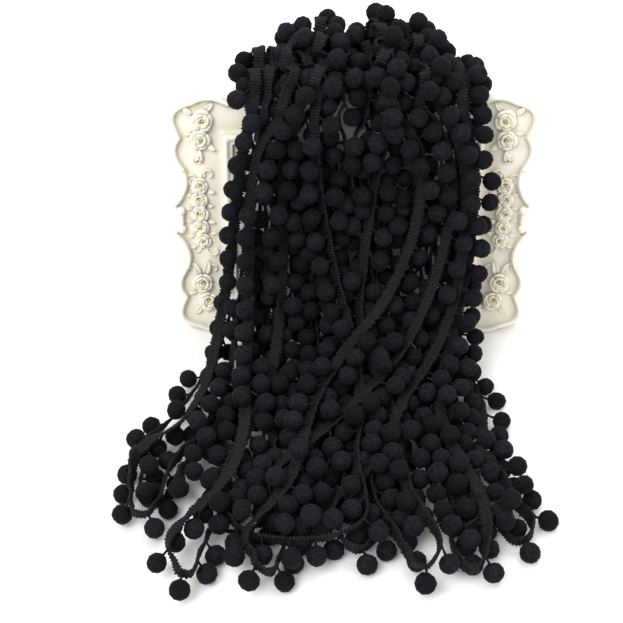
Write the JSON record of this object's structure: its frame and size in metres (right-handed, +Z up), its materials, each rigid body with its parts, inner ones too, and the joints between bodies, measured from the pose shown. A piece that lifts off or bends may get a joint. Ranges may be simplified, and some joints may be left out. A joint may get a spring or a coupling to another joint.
{
  "type": "pompom trim on a picture frame",
  "caption": "Long black pompom trim draped in folds over the top of a leaning cream picture frame, its loops spread on the table in front.",
  "frame": {"origin": "on the table, in the middle of the flat foot of the picture frame", "axes": "+X to the right along the frame, +Y away from the viewer, behind the frame, +Z up"},
  "size_m": [0.258, 0.3133, 0.2066],
  "materials": {
    "trim": "matt pile",
    "resin": "satin cream resin",
    "print": "plain pale panel",
    "board": "dark backing board"
  },
  "bodies": {
    "root": {"back_loop_01": "trim", "back_loop_02": "trim", "back_loop_03": "trim", "back_loop_04": "trim", "back_loop_05": "trim", "back_loop_06": "trim", "back_loop_07": "trim", "back_loop_08": "trim", "back_loop_09": "trim", "back_loop_10": "trim", "back_loop_11": "trim", "back_loop_12": "trim", "back_loop_13": "trim", "fall_01": "trim", "fall_02": "trim", "fall_03": "trim", "fall_04": "trim", "fall_05": "trim", "fall_06": "trim", "fall_07": "trim", "fall_08": "trim", "fall_09": "trim", "fall_10": "trim", "fall_11": "trim", "fall_12": "trim", "fall_13": "trim", "fall_14": "trim", "fall_15": "trim", "fall_16": "trim", "fall_17": "trim", "fall_18": "trim", "fall_19": "trim", "fall_20": "trim", "frame_backboard": "board", "frame_moulding": "resin", "frame_panel": "print", "frame_strut": "board", "table_loop_01": "trim", "table_loop_02": "trim", "table_loop_03": "trim", "table_loop_04": "trim", "table_loop_05": "trim", "table_loop_06": "trim", "table_loop_07": "trim", "table_loop_08": "trim", "table_loop_09": "trim", "table_loop_10": "trim", "table_loop_11": "trim", "table_loop_12": "trim", "table_loop_13": "trim"}
  },
  "joints": []
}
